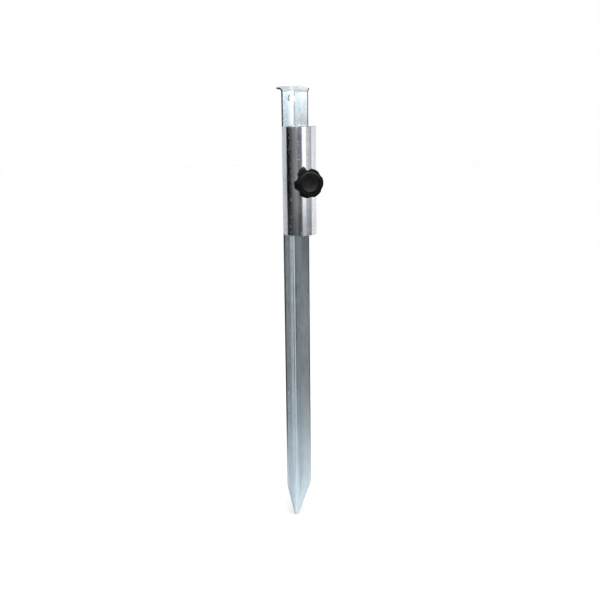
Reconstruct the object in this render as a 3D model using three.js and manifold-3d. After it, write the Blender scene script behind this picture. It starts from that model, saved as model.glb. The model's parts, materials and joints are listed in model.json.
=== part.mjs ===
// Rod holder: a ground spike folded from steel sheet, with a round tube welded into
// the open side of its V and a clamp screw with a star knob through the tube's front.
// Millimetres, +Z up. The origin is the middle of the spike's blunt tip, in the middle
// of the sheet. The knob faces -Y and the fold of the spike faces +Y.

import * as THREE from "three";
import { mergeVertices } from "three/addons/utils/BufferGeometryUtils.js";
import Module from "manifold-3d";

const wasm = await Module();
wasm.setup();

// ---- Driving dimensions -------------------------------------------------------

const GAP = 0.3; // left between pieces that touch
const CUT_PAST = 5; // how far a cutting tool runs past what it cuts
const DIAGONAL = Math.SQRT1_2;

// Spike: an equal angle of sheet, folded to 90 degrees
const SHEET = 2;
const FOLD_RADIUS = 5; // inside the fold
const FLANGE_WIDTH = 22; // outer corner to free edge
const SPIKE_STRAIGHT = 521; // tip to the start of the flared lip
const POINT_LENGTH = 50;
const TIP_WIDTH = 4;
const FLANGE_STATIONS = 6; // rows of points across a flange, which let the lip curve
const FOLD_STEPS = 8;

// Flared lip at the spike's top end: a straight part below the bend, the bend, and a flat
// part beyond it. Hammering has turned the left edge over further than the rest.
const LIP_AT_LEFT_EDGE = { straight: 2.7, radius: 4, degrees: 86, flat: 3.2 };
const LIP_AT_FOLD = { straight: 2.3, radius: 6, degrees: 55, flat: 2.2 };
const LIP_AT_RIGHT_EDGE = { straight: 1.5, radius: 5, degrees: 52, flat: 1.9 };
const LIP_BEND_STEPS = 8;
const LIP_REACH = 12; // more than the lip adds to the spike in any direction
const SPIKE_HOLE_RADIUS = 4.2;
const SPIKE_HOLE_HEIGHT = 517;

// Tube
const TUBE_RADIUS = 19;
const TUBE_WALL = 1.5;
const TUBE_LENGTH = 119;
const TUBE_BOTTOM = 368;
const TUBE_CHAMFER = 0.3;
const TUBE_SEGMENTS = 72;
const SCREW_HOLE_RADIUS = 4.6;

// Stitch welds between the spike's free edges and the tube
const STITCH_LENGTH = 18;
const STITCH_RADIUS = 1.7;
const STITCH_END_MARGIN = 16; // tube end to the middle of the first stitch

// Clamp: an M8 hexagon screw in a star knob. Places are distances from the tube's axis.
const CLAMP_ABOVE_TUBE_BOTTOM = 59.7;
const SCREW_RADIUS = 3.98;
const SCREW_LENGTH = 20;
const SCREW_TIP = 13.5;
const SCREW_TIP_CHAMFER = 0.8;
const HEX_ACROSS_FLATS = 13;
const HEAD_THICKNESS = 5.3;
const NUT_THICKNESS = 6.5;
const NUT_BORE_RADIUS = 4.06;
const NUT_BEAD_RADIUS = 1.6;
const NUT_BEAD_LENGTH = 6;
const THRUST_CAP_RADIUS = 5;
const THRUST_CAP_INNER_END = 12;
const THRUST_CAP_OUTER_END = 16.3;
const THRUST_CAP_ROUNDING = 0.8;

// Knob
const KNOB_RADIUS = 16;
const KNOB_LOBES = 6;
const KNOB_PHASE = THREE.MathUtils.degToRad(36); // where the first flute stands
const KNOB_SEGMENTS = 96;
const KNOB_BACK = 31.2;
const KNOB_THICKNESS = 10;
const KNOB_ROUNDING_AT_BACK = 2;
const KNOB_ROUNDING_AT_FRONT = 4.6;
const FLUTE_RADIUS = 5;
const FLUTE_DEPTH_AT_BACK = 3.4;
const FLUTE_DEPTH_AT_FRONT = 0.9;
const KNOB_BORE_RADIUS = 4.4;
const FRONT_CAP_RADIUS = 9.7;
const FRONT_CAP_EDGE = 1.4;
const FRONT_CAP_MIDDLE = 0.8;

// ---- Sizes worked out from them -----------------------------------------------

const SCREW_HEAD_SEAT = SCREW_TIP + SCREW_LENGTH;
const SCREW_HEAD_TOP = SCREW_HEAD_SEAT + HEAD_THICKNESS;
const NUT_BACK = TUBE_RADIUS + GAP;
const FOLD_MIDDLE_RADIUS = FOLD_RADIUS + SHEET / 2;
const FOLD_OUTER_RADIUS = FOLD_RADIUS + SHEET;
const FLANGE_STRAIGHT = FLANGE_WIDTH - FOLD_OUTER_RADIUS;
// The tube stands against both flanges, so its axis is one radius off their inner faces.
const AXIS_TO_FOLD_CENTRE = (TUBE_RADIUS + GAP - FOLD_RADIUS) / DIAGONAL;
const TUBE_AXIS_Y = -FOLD_MIDDLE_RADIUS - AXIS_TO_FOLD_CENTRE;
const CLAMP_HEIGHT = TUBE_BOTTOM + CLAMP_ABOVE_TUBE_BOTTOM;

// ---- Solids and geometries ----------------------------------------------------

function solidOf(geometry) {
  const bare = geometry.clone();
  bare.deleteAttribute("normal");
  bare.deleteAttribute("uv");
  const welded = mergeVertices(bare, 1e-4);
  const mesh = new wasm.Mesh({
    numProp: 3,
    vertProperties: new Float32Array(welded.attributes.position.array),
    triVerts: new Uint32Array(welded.index.array),
  });
  return new wasm.Manifold(mesh);
}

function geometryOf(solid) {
  const mesh = solid.getMesh();
  const geometry = new THREE.BufferGeometry();
  geometry.setAttribute("position", new THREE.BufferAttribute(mesh.vertProperties, 3));
  geometry.setIndex(new THREE.BufferAttribute(mesh.triVerts, 1));
  geometry.computeVertexNormals();
  return geometry;
}

function cut(geometry, ...tools) {
  let solid = solidOf(geometry);
  for (const tool of tools) {
    solid = solid.subtract(solidOf(tool));
  }
  return geometryOf(solid);
}

// A body of revolution about Z, from [radius, height] points listed anticlockwise.
function turned(points, segments) {
  const profile = points.map(([radius, height]) => new THREE.Vector2(radius, height));
  return new THREE.LatheGeometry(profile, segments).rotateX(Math.PI / 2);
}

function rod(radius, low, high, segments = 48) {
  return turned([[0, low], [radius, low], [radius, high], [0, high]], segments);
}

function hexPrism(acrossFlats, low, high) {
  const cornerRadius = acrossFlats / 2 / Math.cos(Math.PI / 6);
  return rod(cornerRadius, low, high, 6);
}

// ---- Spike --------------------------------------------------------------------

// Points of the sheet's middle line in plan, from the left free edge round the fold to
// the right one, each with its outward direction and its place across the V: -1 at the
// left free edge, 0 in the fold and 1 at the right free edge.
function sheetStations() {
  const foldCentre = new THREE.Vector2(0, -FOLD_MIDDLE_RADIUS);
  const right = [];
  for (let step = 0; step <= FOLD_STEPS / 2; step += 1) {
    const angle = Math.PI / 2 - (Math.PI / 4) * (step / (FOLD_STEPS / 2));
    const outward = new THREE.Vector2(Math.cos(angle), Math.sin(angle));
    const point = foldCentre.clone().addScaledVector(outward, FOLD_MIDDLE_RADIUS);
    right.push({ point, outward, across: 0 });
  }
  const foldEnd = right[right.length - 1];
  const alongFlange = new THREE.Vector2(DIAGONAL, -DIAGONAL);
  for (let station = 1; station <= FLANGE_STATIONS; station += 1) {
    const share = station / FLANGE_STATIONS;
    const point = foldEnd.point.clone().addScaledVector(alongFlange, share * FLANGE_STRAIGHT);
    right.push({ point, outward: foldEnd.outward, across: share });
  }
  const left = right.slice(1).reverse().map(({ point, outward, across }) => ({
    point: new THREE.Vector2(-point.x, point.y),
    outward: new THREE.Vector2(-outward.x, outward.y),
    across: -across,
  }));
  return [...left, ...right];
}

// Steps up the lip: its start, the start of the bend, points round the bend, and its end.
// Each says what share of the bend is behind it and what share of the flat part.
function lipSteps() {
  const bend = [];
  for (let step = 0; step <= LIP_BEND_STEPS; step += 1) {
    bend.push({ straight: 1, bend: step / LIP_BEND_STEPS, flat: 0 });
  }
  return [{ straight: 0, bend: 0, flat: 0 }, ...bend, { straight: 1, bend: 1, flat: 1 }];
}

// The lip's shape at a station, blended between the fold's and the nearer free edge's.
function lipAt(station) {
  const edge = station.across < 0 ? LIP_AT_LEFT_EDGE : LIP_AT_RIGHT_EDGE;
  const nearEdge = (1 - Math.cos(Math.PI * station.across)) / 2;
  const blend = (key) => THREE.MathUtils.lerp(LIP_AT_FOLD[key], edge[key], nearEdge);
  return {
    straight: blend("straight"),
    radius: blend("radius"),
    angle: THREE.MathUtils.degToRad(blend("degrees")),
    flat: blend("flat"),
  };
}

// The sheet rises straight to the lip, bends outwards and runs on flat. offset is the
// distance from the middle of the sheet towards its outer side.
function placeOnLip(station, offset, step) {
  const lip = lipAt(station);
  const angle = lip.angle * step.bend;
  const flat = lip.flat * step.flat;
  const outwards = (lip.radius - offset) * (1 - Math.cos(angle)) + offset + flat * Math.sin(angle);
  const rise = lip.straight * step.straight + (lip.radius - offset) * Math.sin(angle)
    + flat * Math.cos(angle);
  const plan = station.point.clone().addScaledVector(station.outward, outwards);
  return new THREE.Vector3(plan.x, plan.y, SPIKE_STRAIGHT + rise);
}

// An extrusion of the V section, whose upper layers are then moved onto the lip's curve.
function foldedSheet() {
  const stations = sheetStations();
  const sides = [
    ...stations.map((station) => ({ station, offset: SHEET / 2 })),
    ...stations.toReversed().map((station) => ({ station, offset: -SHEET / 2 })),
  ];
  const outline = sides.map(({ station, offset }) =>
    station.point.clone().addScaledVector(station.outward, offset));
  const steps = lipSteps();
  const geometry = new THREE.ExtrudeGeometry(new THREE.Shape(outline), {
    depth: steps.length,
    steps: steps.length,
    bevelEnabled: false,
  });
  const position = geometry.attributes.position;
  const corner = new THREE.Vector2();
  for (let index = 0; index < position.count; index += 1) {
    const layer = Math.round(position.getZ(index));
    if (layer > 0) {
      corner.set(position.getX(index), position.getY(index));
      const side = sides[nearestIndex(outline, corner)];
      const placed = placeOnLip(side.station, side.offset, steps[layer - 1]);
      position.setXYZ(index, placed.x, placed.y, placed.z);
    }
  }
  return geometry;
}

function nearestIndex(points, target) {
  const distances = points.map((point) => point.distanceTo(target));
  return distances.indexOf(Math.min(...distances));
}

// The front view that the point is cut to: a blunt tip widening to full width.
function pointOutline() {
  const halfTip = TIP_WIDTH / 2;
  const flangeReach = FLANGE_WIDTH * DIAGONAL;
  const farSide = FLANGE_WIDTH + LIP_REACH;
  const slope = (flangeReach - halfTip) / POINT_LENGTH;
  const farHeight = (farSide - halfTip) / slope;
  const above = SPIKE_STRAIGHT + LIP_REACH + CUT_PAST;
  const outline = new THREE.Shape();
  outline.moveTo(-halfTip, 0);
  outline.lineTo(halfTip, 0);
  outline.lineTo(farSide, farHeight);
  outline.lineTo(farSide, above);
  outline.lineTo(-farSide, above);
  outline.lineTo(-farSide, farHeight);
  const depth = 2 * farSide;
  return new THREE.ExtrudeGeometry(outline, { depth, bevelEnabled: false })
    .rotateX(Math.PI / 2)
    .translate(0, depth / 2, 0);
}

function groundSpike() {
  const hole = rod(SPIKE_HOLE_RADIUS, -FLANGE_WIDTH, FLANGE_WIDTH)
    .rotateX(Math.PI / 2)
    .translate(0, 0, SPIKE_HOLE_HEIGHT);
  const pointed = solidOf(foldedSheet()).intersect(solidOf(pointOutline()));
  return geometryOf(pointed.subtract(solidOf(hole)));
}

// ---- Tube and stitch welds ------------------------------------------------------

function holderTube() {
  const inner = TUBE_RADIUS - TUBE_WALL;
  const wall = turned([
    [inner + TUBE_CHAMFER, 0],
    [TUBE_RADIUS - TUBE_CHAMFER, 0],
    [TUBE_RADIUS, TUBE_CHAMFER],
    [TUBE_RADIUS, TUBE_LENGTH - TUBE_CHAMFER],
    [TUBE_RADIUS - TUBE_CHAMFER, TUBE_LENGTH],
    [inner + TUBE_CHAMFER, TUBE_LENGTH],
    [inner, TUBE_LENGTH - TUBE_CHAMFER],
    [inner, TUBE_CHAMFER],
    [inner + TUBE_CHAMFER, 0],
  ], TUBE_SEGMENTS);
  const screwHole = rod(SCREW_HOLE_RADIUS, 0, TUBE_RADIUS + CUT_PAST)
    .rotateX(Math.PI / 2)
    .translate(0, 0, CLAMP_ABOVE_TUBE_BOTTOM);
  return cut(wall, screwHole);
}

// A bead in the corner between a flange's free edge and the tube, in the tube's own
// frame. side is -1 for the left flange and 1 for the right one.
function stitchWeld(side, height) {
  const foldCentreY = AXIS_TO_FOLD_CENTRE;
  const edgeX = DIAGONAL * (FLANGE_STRAIGHT + FOLD_RADIUS);
  const edgeY = foldCentreY - DIAGONAL * (FLANGE_STRAIGHT - FOLD_RADIUS);
  const bead = new THREE.CapsuleGeometry(STITCH_RADIUS, STITCH_LENGTH, 5, 20)
    .rotateX(Math.PI / 2)
    .translate(side * edgeX, edgeY, height);
  const keepOffTube = rod(TUBE_RADIUS + GAP, -CUT_PAST, TUBE_LENGTH + CUT_PAST, TUBE_SEGMENTS);
  const block = 4 * STITCH_RADIUS;
  const keepOffFlange = new THREE.BoxGeometry(block, block, 2 * STITCH_LENGTH)
    .translate(0, block / 2 - GAP, 0)
    .rotateZ(side * Math.PI / 4)
    .translate(side * edgeX, edgeY, height);
  return cut(bead, keepOffTube, keepOffFlange);
}

function stitchHeights() {
  const low = STITCH_END_MARGIN;
  const high = TUBE_LENGTH - STITCH_END_MARGIN;
  return { lower: low, middle: (low + high) / 2, upper: high };
}

// ---- Clamp, built along its own +Z, which points away from the tube's axis ---------

function weldNut() {
  const body = hexPrism(HEX_ACROSS_FLATS, NUT_BACK, NUT_BACK + NUT_THICKNESS);
  return cut(body, rod(NUT_BORE_RADIUS, 0, KNOB_BACK));
}

// A bead where one flat of the nut meets the round tube. side is -1 or 1.
function nutWeld(side) {
  const flatX = HEX_ACROSS_FLATS / 2;
  const surface = Math.sqrt(TUBE_RADIUS ** 2 - flatX ** 2);
  const bead = new THREE.CapsuleGeometry(NUT_BEAD_RADIUS, NUT_BEAD_LENGTH - NUT_BEAD_RADIUS, 5, 20)
    .translate(side * flatX, 0, surface);
  const nutSpace = hexPrism(HEX_ACROSS_FLATS + 2 * GAP, 0, KNOB_BACK);
  const tubeSpace = rod(TUBE_RADIUS + GAP, -TUBE_LENGTH, TUBE_LENGTH, TUBE_SEGMENTS)
    .rotateX(Math.PI / 2);
  return cut(bead, nutSpace, tubeSpace);
}

function clampScrew() {
  const shank = turned([
    [0, SCREW_TIP],
    [SCREW_RADIUS - SCREW_TIP_CHAMFER, SCREW_TIP],
    [SCREW_RADIUS, SCREW_TIP + SCREW_TIP_CHAMFER],
    [SCREW_RADIUS, SCREW_HEAD_SEAT + HEAD_THICKNESS / 2],
    [0, SCREW_HEAD_SEAT + HEAD_THICKNESS / 2],
  ], 48);
  const head = hexPrism(HEX_ACROSS_FLATS, SCREW_HEAD_SEAT, SCREW_HEAD_TOP);
  return geometryOf(solidOf(shank).add(solidOf(head)));
}

function thrustCap() {
  const body = turned([
    [0, THRUST_CAP_INNER_END],
    [THRUST_CAP_RADIUS - THRUST_CAP_ROUNDING, THRUST_CAP_INNER_END],
    [THRUST_CAP_RADIUS, THRUST_CAP_INNER_END + THRUST_CAP_ROUNDING],
    [THRUST_CAP_RADIUS, THRUST_CAP_OUTER_END],
    [0, THRUST_CAP_OUTER_END],
  ], 48);
  return cut(body, rod(SCREW_RADIUS + GAP, SCREW_TIP - GAP, THRUST_CAP_OUTER_END + CUT_PAST));
}

// The knob's rounded outer corner: a quarter circle of profile points from turnFrom on.
function roundedCorner(rounding, centreHeight, turnFrom) {
  const points = [];
  const steps = 5;
  for (let step = 0; step <= steps; step += 1) {
    const angle = turnFrom + (Math.PI / 2) * (step / steps);
    points.push([
      KNOB_RADIUS - rounding + rounding * Math.cos(angle),
      centreHeight + rounding * Math.sin(angle),
    ]);
  }
  return points;
}

// A round cutter that leans outwards: it cuts deep at the knob's back, shallow in front.
function fluteCutter(index) {
  const spread = FLUTE_DEPTH_AT_BACK - FLUTE_DEPTH_AT_FRONT;
  const meanDepth = (FLUTE_DEPTH_AT_BACK + FLUTE_DEPTH_AT_FRONT) / 2;
  const angle = KNOB_PHASE + (2 * Math.PI * index) / KNOB_LOBES;
  return rod(FLUTE_RADIUS, -KNOB_THICKNESS, KNOB_THICKNESS, 64)
    .rotateY(Math.atan2(spread, KNOB_THICKNESS))
    .translate(KNOB_RADIUS - meanDepth + FLUTE_RADIUS, 0, KNOB_BACK + KNOB_THICKNESS / 2)
    .rotateZ(angle);
}

function knobGrip() {
  const back = KNOB_BACK;
  const front = KNOB_BACK + KNOB_THICKNESS;
  const body = turned([
    [0, back],
    ...roundedCorner(KNOB_ROUNDING_AT_BACK, back + KNOB_ROUNDING_AT_BACK, -Math.PI / 2),
    ...roundedCorner(KNOB_ROUNDING_AT_FRONT, front - KNOB_ROUNDING_AT_FRONT, 0),
    [0, front],
  ], KNOB_SEGMENTS);
  const flutes = Array.from({ length: KNOB_LOBES }, (_, index) => fluteCutter(index));
  return cut(
    body,
    ...flutes,
    rod(KNOB_BORE_RADIUS, 0, front + CUT_PAST),
    hexPrism(HEX_ACROSS_FLATS + 2 * GAP, SCREW_HEAD_SEAT - GAP, front + CUT_PAST),
    rod(FRONT_CAP_RADIUS + GAP, SCREW_HEAD_TOP, front + CUT_PAST),
  );
}

function knobFrontCap() {
  const back = SCREW_HEAD_TOP + GAP;
  const dishDepth = FRONT_CAP_EDGE - FRONT_CAP_MIDDLE;
  const dish = [1, 0.75, 0.5, 0.25, 0].map((share) => [
    share * FRONT_CAP_RADIUS,
    back + FRONT_CAP_MIDDLE + dishDepth * share ** 2,
  ]);
  return turned([[0, back], [FRONT_CAP_RADIUS, back], ...dish], 48);
}

// ---- Assembly -------------------------------------------------------------------

const galvanisedSheet = () => new THREE.MeshStandardMaterial({
  color: 0xa9b2b8, roughness: 0.35, metalness: 1,
});
const galvanisedTube = () => new THREE.MeshStandardMaterial({
  color: 0xc4c6cc, roughness: 0.25, metalness: 1,
});
const zincPlate = () => new THREE.MeshStandardMaterial({
  color: 0xb8bcc0, roughness: 0.3, metalness: 1,
});
const weldMetal = () => new THREE.MeshStandardMaterial({
  color: 0x8f9498, roughness: 0.5, metalness: 1,
});
const blackPlastic = () => new THREE.MeshStandardMaterial({
  color: 0x151517, roughness: 0.4, metalness: 0,
});

function part(name, geometry, material) {
  const mesh = new THREE.Mesh(geometry, material);
  mesh.name = name;
  return mesh;
}

const rodHolder = new THREE.Group();
rodHolder.add(part("ground_spike", groundSpike(), galvanisedSheet()));

const tubeFrame = new THREE.Group();
tubeFrame.position.set(0, TUBE_AXIS_Y, TUBE_BOTTOM);
tubeFrame.add(part("holder_tube", holderTube(), galvanisedTube()));
for (const [level, height] of Object.entries(stitchHeights())) {
  tubeFrame.add(part(`weld_${level}_left`, stitchWeld(-1, height), weldMetal()));
  tubeFrame.add(part(`weld_${level}_right`, stitchWeld(1, height), weldMetal()));
}
rodHolder.add(tubeFrame);

const clamp = new THREE.Group();
clamp.position.set(0, TUBE_AXIS_Y, CLAMP_HEIGHT);
clamp.rotation.x = Math.PI / 2;
clamp.add(part("weld_nut", weldNut(), zincPlate()));
clamp.add(part("nut_weld_left", nutWeld(-1), weldMetal()));
clamp.add(part("nut_weld_right", nutWeld(1), weldMetal()));
clamp.add(part("clamp_screw", clampScrew(), zincPlate()));
clamp.add(part("thrust_cap", thrustCap(), blackPlastic()));
clamp.add(part("knob_grip", knobGrip(), blackPlastic()));
clamp.add(part("knob_front_cap", knobFrontCap(), blackPlastic()));
rodHolder.add(clamp);

export default rodHolder;
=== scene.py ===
"""Looks for the rod holder: a folded ground spike, a tube welded to it and a clamp screw with a star knob.

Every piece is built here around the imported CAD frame, in metres. The knob faces -Y and the fold of the
spike faces +Y. Clamp pieces are described by their distance from the tube's axis, which grows towards -Y.
"""

import json
import math

import bmesh
import bpy
from mathutils import Matrix, Vector


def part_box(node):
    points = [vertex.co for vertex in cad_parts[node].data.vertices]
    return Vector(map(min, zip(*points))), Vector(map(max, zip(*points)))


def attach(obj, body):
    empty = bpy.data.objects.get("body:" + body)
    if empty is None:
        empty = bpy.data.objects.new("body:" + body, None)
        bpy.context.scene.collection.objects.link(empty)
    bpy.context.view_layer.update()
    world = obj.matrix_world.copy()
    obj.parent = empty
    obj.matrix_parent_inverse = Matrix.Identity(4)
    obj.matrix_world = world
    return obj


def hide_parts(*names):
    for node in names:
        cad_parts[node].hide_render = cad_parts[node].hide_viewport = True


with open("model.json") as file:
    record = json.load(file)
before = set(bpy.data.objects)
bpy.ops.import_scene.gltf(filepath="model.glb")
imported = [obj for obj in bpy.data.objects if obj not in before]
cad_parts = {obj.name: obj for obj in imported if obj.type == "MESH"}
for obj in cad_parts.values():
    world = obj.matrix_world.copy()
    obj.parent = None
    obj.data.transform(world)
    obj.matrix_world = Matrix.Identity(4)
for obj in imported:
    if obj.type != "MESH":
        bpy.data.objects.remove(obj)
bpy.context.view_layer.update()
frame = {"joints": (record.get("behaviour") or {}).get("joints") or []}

MM = 0.001

# ---- Sizes read from the frame ----------------------------------------------------

spike_low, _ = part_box("ground_spike")
tube_low, tube_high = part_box("holder_tube")
knob_low, knob_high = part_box("knob_grip")
disc_low, disc_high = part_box("knob_front_cap")
screw_low, screw_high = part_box("clamp_screw")
nut_low, nut_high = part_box("weld_nut")
pad_low, pad_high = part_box("thrust_cap")
turn_joint = next(joint for joint in frame["joints"] if joint["name"] == "knob_turn")

TUBE_RADIUS = (tube_high.x - tube_low.x) / 2
TUBE_AXIS = Vector((0, (tube_low.y + tube_high.y) / 2, 0))
CLAMP_HEIGHT = turn_joint["pos_m"][2]

# ---- Sizes that the boxes don't tell --------------------------------------------------

SHEET = 2 * MM
FOLD_RADIUS = 6 * MM  # middle of the sheet
FOLD_HALF_ARC = FOLD_RADIUS * math.pi / 4  # from the middle of the fold to where a flange starts
FLANGE_STRAIGHT = 15 * MM
SHEET_HALF_WIDTH = FOLD_HALF_ARC + FLANGE_STRAIGHT
POINT_LENGTH = 50 * MM
TIP_HALF_WIDTH = 2 * MM
LIP_START = 521 * MM
LIP_LENGTH = 12 * MM
# Flared lip: straight part below the bend, bend radius, bend angle, flat part beyond the bend
LIP_LEFT = (2.7 * MM, 4.0 * MM, math.radians(86), 3.2 * MM)
LIP_FOLD = (2.3 * MM, 6.0 * MM, math.radians(55), 2.2 * MM)
LIP_RIGHT = (1.5 * MM, 5.0 * MM, math.radians(52), 1.9 * MM)
SPIKE_HOLE_RADIUS = 4.2 * MM
SPIKE_HOLE_HEIGHT = 517 * MM
TIP_LIFT = 0.05 * MM  # the lowest edge moves down by less than this when the sheet is thickened
SHEET_EDGE_ROUNDING = 0.25 * MM
TUBE_WALL = 1.5 * MM
TUBE_EDGE_ROUNDING = 0.28 * MM
SCREW_HOLE_RADIUS = 4.6 * MM
SCREW_LENGTH = 20 * MM  # from the head's seat to the tip
THREAD_PITCH = 1.25 * MM
THREAD_DEPTH = 0.65 * MM
HEX_FLAT_RADIUS = 6.5 * MM
HEX_FACE_RADIUS = 6.1 * MM  # the round flat inside a hexagon's chamfer
CLEARANCE = 0.3 * MM  # round a piece that sits in another
HOLE_SQUARE = 7 * MM  # half the side of the finely divided square round a hole
DIAGONAL = math.sqrt(0.5)  # the flanges stand at 45 degrees


# ---- Mesh helpers ------------------------------------------------------------------

def smoothstep(low, high, value):
    share = min(1.0, max(0.0, (value - low) / (high - low)))
    return share * share * (3 - 2 * share)


def mix(first, second, share):
    return first + (second - first) * share


def piece_from(name, vertices, faces, merge=1e-7):
    """A mesh object with its faces turned outwards and corners closer than merge, in metres, joined."""
    mesh = bpy.data.meshes.new(name)
    mesh.from_pydata(vertices, [], faces)
    work = bmesh.new()
    work.from_mesh(mesh)
    bmesh.ops.remove_doubles(work, verts=work.verts, dist=merge)
    bmesh.ops.dissolve_degenerate(work, edges=work.edges, dist=merge)
    bmesh.ops.recalc_face_normals(work, faces=work.faces)
    work.to_mesh(mesh)
    work.free()
    piece = bpy.data.objects.new(name, mesh)
    bpy.context.scene.collection.objects.link(piece)
    return piece


def bake_modifiers(piece):
    """Replaces the piece's mesh by what its modifiers make of it."""
    depsgraph = bpy.context.evaluated_depsgraph_get()
    finished = bpy.data.meshes.new_from_object(piece.evaluated_get(depsgraph))
    piece.modifiers.clear()
    piece.data = finished


def round_edges(piece, width, segments=3, sharper_than=35):
    bevel = piece.modifiers.new("round_edges", "BEVEL")
    bevel.width = width
    bevel.segments = segments
    bevel.limit_method = "ANGLE"
    bevel.angle_limit = math.radians(sharper_than)
    bevel.use_clamp_overlap = True
    bake_modifiers(piece)


def shade(piece, sharp_angle=50):
    """Smooth shading that keeps large flat faces flat. Edges beyond sharp_angle, in degrees, stay sharp."""
    piece.data.polygons.foreach_set("use_smooth", [True] * len(piece.data.polygons))
    piece.data.set_sharp_from_angle(angle=math.radians(sharp_angle))
    weighted = piece.modifiers.new("weighted_normals", "WEIGHTED_NORMAL")
    weighted.keep_sharp = True
    return piece


def steps(low, high, count):
    """count + 1 evenly spaced values from low to high."""
    return [mix(low, high, index / count) for index in range(count + 1)]


# ---- Sheet pieces: a flat pattern with one round hole, then bent to shape ------------

def hole_patch(centre, half, per_side, rings, edge_of_hole):
    """Quads between a hole and the square around it. edge_of_hole gives the hole's edge at an angle."""
    crowding = 1.3  # above 1, the rings of quads stand closer together near the hole
    corners = [(-half, -half), (half, -half), (half, half), (-half, half), (-half, -half)]
    square = []
    for start, end in zip(corners, corners[1:]):
        for index in range(per_side):
            share = index / per_side
            square.append((mix(start[0], end[0], share), mix(start[1], end[1], share)))
    points = []
    for ring in range(rings + 1):
        share = (ring / rings) ** crowding
        for x, y in square:
            edge_x, edge_y = edge_of_hole(math.atan2(y, x))
            points.append((centre[0] + mix(edge_x, x, share), centre[1] + mix(edge_y, y, share)))
    around = len(square)
    quads = []
    for ring in range(rings):
        for index in range(around):
            following = (index + 1) % around
            low, high = ring * around, (ring + 1) * around
            quads.append((low + index, high + index, high + following, low + following))
    return points, quads


def flat_pattern(columns, rows, hole_centre, hole_half, per_side, rings, edge_of_hole):
    """Points and quads of a rectangle whose grid lines include the square around the hole."""
    points = [(column, row) for row in rows for column in columns]
    quads = []
    width = len(columns)
    for row_index in range(len(rows) - 1):
        for column_index in range(width - 1):
            middle_x = (columns[column_index] + columns[column_index + 1]) / 2 - hole_centre[0]
            middle_y = (rows[row_index] + rows[row_index + 1]) / 2 - hole_centre[1]
            if max(abs(middle_x), abs(middle_y)) > hole_half:
                first = row_index * width + column_index
                quads.append((first, first + 1, first + width + 1, first + width))
    patch_points, patch_quads = hole_patch(hole_centre, hole_half, per_side, rings, edge_of_hole)
    start = len(points)
    points += patch_points
    quads += [tuple(start + corner for corner in quad) for quad in patch_quads]
    return points, quads


def bent_sheet(name, pattern, bend, thickness, edge_rounding, materials):
    """Bends a flat pattern into its middle surface and thickens it evenly to both sides.

    The first material covers the faces and the last one the cut edges.
    """
    points, quads = pattern
    piece = piece_from(name, [bend(*point) for point in points], quads, merge=1e-5)
    for material in materials:
        piece.data.materials.append(material)
    loose = bmesh.new()
    loose.from_mesh(piece.data)
    bmesh.ops.delete(loose, geom=[vert for vert in loose.verts if not vert.link_faces], context="VERTS")
    loose.to_mesh(piece.data)
    loose.free()
    solidify = piece.modifiers.new("thickness", "SOLIDIFY")
    solidify.thickness = thickness
    solidify.offset = 0
    solidify.use_even_offset = True
    solidify.material_offset_rim = len(materials) - 1
    bake_modifiers(piece)
    round_edges(piece, edge_rounding)
    return shade(piece)


def across_to_plan(across):
    """Plan position and outward direction at a distance across the sheet from the middle of the fold."""
    side = 1 if across >= 0 else -1
    distance = abs(across)
    angle = min(distance, FOLD_HALF_ARC) / FOLD_RADIUS
    straight = max(0.0, distance - FOLD_HALF_ARC)
    outward = Vector((side * math.sin(angle), math.cos(angle), 0))
    along = Vector((side * DIAGONAL, -DIAGONAL, 0))
    centre = Vector((0, -FOLD_RADIUS, 0))
    return centre + outward * FOLD_RADIUS + along * straight, outward


def plan_x_to_across(x):
    """Distance across the sheet of the point that stands at x in the front view."""
    side = 1 if x >= 0 else -1
    fold_reach = FOLD_RADIUS * DIAGONAL
    if abs(x) < fold_reach:
        return side * FOLD_RADIUS * math.asin(abs(x) / FOLD_RADIUS)
    return side * (FOLD_HALF_ARC + (abs(x) - fold_reach) / DIAGONAL)


def half_width_at(height):
    """Half the pattern's width: full above the point, narrowing on a straight cut below."""
    if height >= POINT_LENGTH:
        return SHEET_HALF_WIDTH
    full_reach = across_to_plan(SHEET_HALF_WIDTH)[0].x
    return plan_x_to_across(mix(TIP_HALF_WIDTH, full_reach, height / POINT_LENGTH))


def lip_curve(spec, share):
    """How far the lip has reached outwards and risen, at a share of its length."""
    straight, radius, full_angle, flat = spec
    distance = share * (straight + radius * full_angle + flat)
    if distance <= straight:
        return 0.0, distance
    angle = min(full_angle, (distance - straight) / radius)
    beyond = max(0.0, distance - straight - radius * full_angle)
    reach = radius * (1 - math.cos(angle)) + beyond * math.sin(angle)
    rise = straight + radius * math.sin(angle) + beyond * math.cos(angle)
    return reach, rise


def bend_spike(across, height):
    """Folds the pattern to a V, narrows it to the point and curls its top end outwards."""
    across *= half_width_at(height) / SHEET_HALF_WIDTH
    plan, outward = across_to_plan(across)
    if height <= LIP_START:
        return plan + Vector((0, 0, height))
    edge = LIP_LEFT if across < 0 else LIP_RIGHT
    flange_share = max(0.0, abs(across) - FOLD_HALF_ARC) / FLANGE_STRAIGHT
    near_edge = (1 - math.cos(math.pi * flange_share)) / 2
    spec = [mix(middle, side, near_edge) for middle, side in zip(LIP_FOLD, edge)]
    reach, rise = lip_curve(spec, (height - LIP_START) / LIP_LENGTH)
    return plan + outward * reach + Vector((0, 0, LIP_START + rise))


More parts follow.
